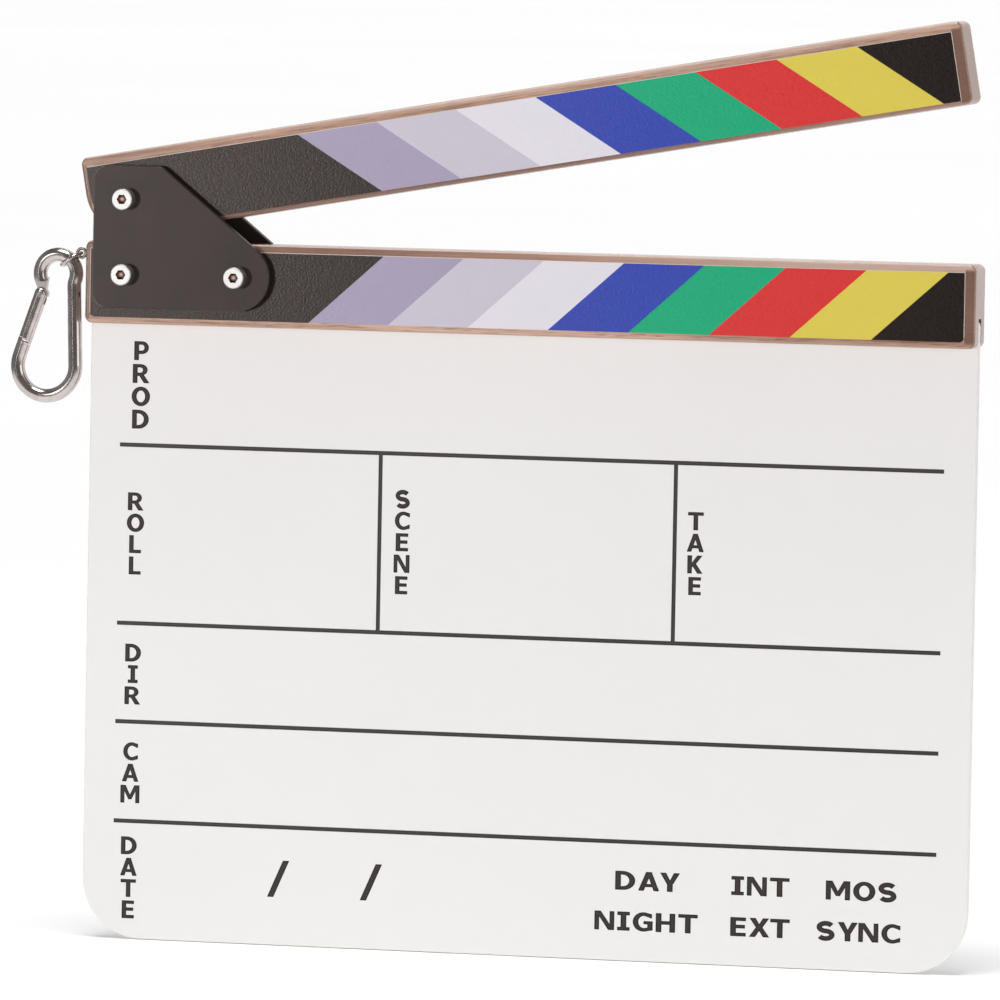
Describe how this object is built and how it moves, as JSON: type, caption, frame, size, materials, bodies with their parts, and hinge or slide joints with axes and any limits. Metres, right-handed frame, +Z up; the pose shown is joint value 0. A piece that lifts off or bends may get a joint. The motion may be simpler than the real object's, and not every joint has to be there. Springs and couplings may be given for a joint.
{
  "type": "clapperboard",
  "caption": "Clapperboard with a ruled white slate in a grooved wooden stick, a striped clap stick on a plate hinge, and a snap hook on a ring.",
  "frame": {"origin": "middle of the slate's bottom edge, at half its thickness", "axes": "+X along the board to the viewer's right, +Y from the front to the back, +Z up from the slate's bottom edge to the sticks"},
  "size_m": [0.327, 0.029, 0.3064],
  "materials": {
    "white_acrylic": "satin white sheet with engraved lines",
    "walnut": "oiled, fine straight grain",
    "stripe_film": "satin printed film with slanted stripes",
    "black_plate": "satin black",
    "stainless": "satin turned steel",
    "plated_steel": "polished plated steel",
    "spring_steel": "bright drawn wire"
  },
  "bodies": {
    "board": {"slate_board": "white_acrylic", "lower_stick": "walnut", "lower_stripe_label": "stripe_film", "front_hinge_plate": "black_plate", "rear_hinge_plate": "black_plate", "pivot_screw": "stainless", "left_plate_screw": "stainless", "right_plate_screw": "stainless", "pivot_lock_nut": "stainless", "left_plate_lock_nut": "stainless", "right_plate_lock_nut": "stainless", "screw_eye": "plated_steel"},
    "clap_stick": {"upper_stick": "walnut", "upper_stripe_label": "stripe_film"},
    "ring": {"link_ring": "plated_steel"},
    "hook": {"carabiner_body": "plated_steel", "gate_rivet": "stainless"},
    "gate": {"carabiner_gate": "plated_steel", "gate_spring": "spring_steel"},
    "plunger": {"gate_plunger": "spring_steel"}
  },
  "joints": [
    {"name": "clap_hinge", "type": "hinge", "parent": "board", "child": "clap_stick", "pos_m": [-0.136, 0.0002, 0.2424], "axis": [0, -1, 0], "range_deg": [-10.35, 66]},
    {"name": "ring_swing", "type": "hinge", "parent": "board", "child": "ring", "pos_m": [-0.15392, 0.0002, 0.22409], "axis": [0, 1, 0], "range_deg": [-1.5, 60]},
    {"name": "hook_swing", "type": "hinge", "parent": "ring", "child": "hook", "pos_m": [-0.1605, 0.0002, 0.2199], "axis": [0, 1, 0], "range_deg": [-2, 58]},
    {"name": "gate_hinge", "type": "hinge", "parent": "hook", "child": "gate", "pos_m": [-0.16754, 0.0002, 0.21048], "axis": [0, -1, 0], "range_deg": [0, 40], "stiffness_Nm_per_rad": 0.002, "springref_deg": -11.46},
    {"name": "plunger_slide", "type": "slide", "parent": "gate", "child": "plunger", "axis": [-0.3322, 0, -0.9432], "range_m": [0, 0.00042], "deforming": ["gate_spring"]}
  ],
  "couplings": [
    {"joint": "plunger_slide", "follows": "gate_hinge", "m_per_rad": 0.0005873}
  ]
}
